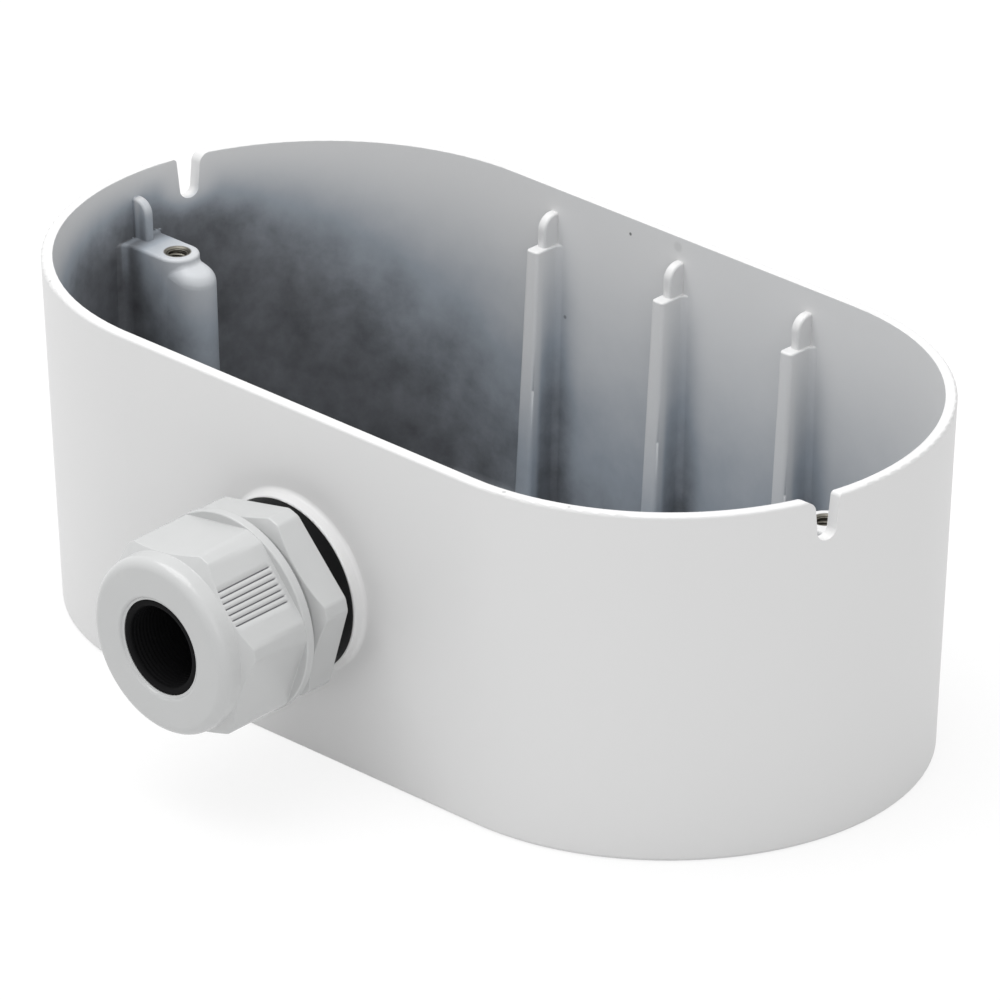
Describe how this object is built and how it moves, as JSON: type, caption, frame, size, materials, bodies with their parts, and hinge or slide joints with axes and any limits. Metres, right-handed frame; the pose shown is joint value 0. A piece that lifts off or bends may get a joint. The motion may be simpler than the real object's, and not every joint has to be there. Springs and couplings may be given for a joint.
{
  "type": "camera junction box",
  "caption": "Stadium-shaped cast junction box, open to the front for a camera's plate, with ribs, screw bosses, rim notches and a side cable gland.",
  "frame": {"origin": "middle of the flat rear face, which lies against the wall the box is fixed to", "axes": "+Z out of the open side, along the screws; +X along the length; the cable gland is on the -Y wall"},
  "size_m": [0.184, 0.1328, 0.0668],
  "materials": {
    "powder_coated_casting": "die-cast, fine-textured light powder coat, satin",
    "gland_nylon": "moulded light grey nylon, satin",
    "gasket_rubber": "moulded black rubber, matt",
    "seal_rubber": "moulded black rubber, satin"
  },
  "bodies": {
    "box": {"housing": "powder_coated_casting", "gland_body": "gland_nylon", "gland_gasket": "gasket_rubber", "gland_lock_nut": "gland_nylon"},
    "seal": {"gland_seal": "seal_rubber"},
    "dome_nut": {"gland_dome_nut": "gland_nylon"}
  },
  "joints": [
    {"name": "nut_travel", "type": "slide", "parent": "box", "child": "seal", "axis": [0, -0.9992, -0.0398], "range_m": [-0.0015, 0.0045]},
    {"name": "nut_turn", "type": "hinge", "parent": "seal", "child": "dome_nut", "pos_m": [0, -0.06286, 0.03284], "axis": [0, -0.9992, -0.0398], "range_deg": [-360, 1080]}
  ],
  "couplings": [
    {"joint": "nut_travel", "follows": "nut_turn", "m_per_rad": 0.00023873}
  ]
}
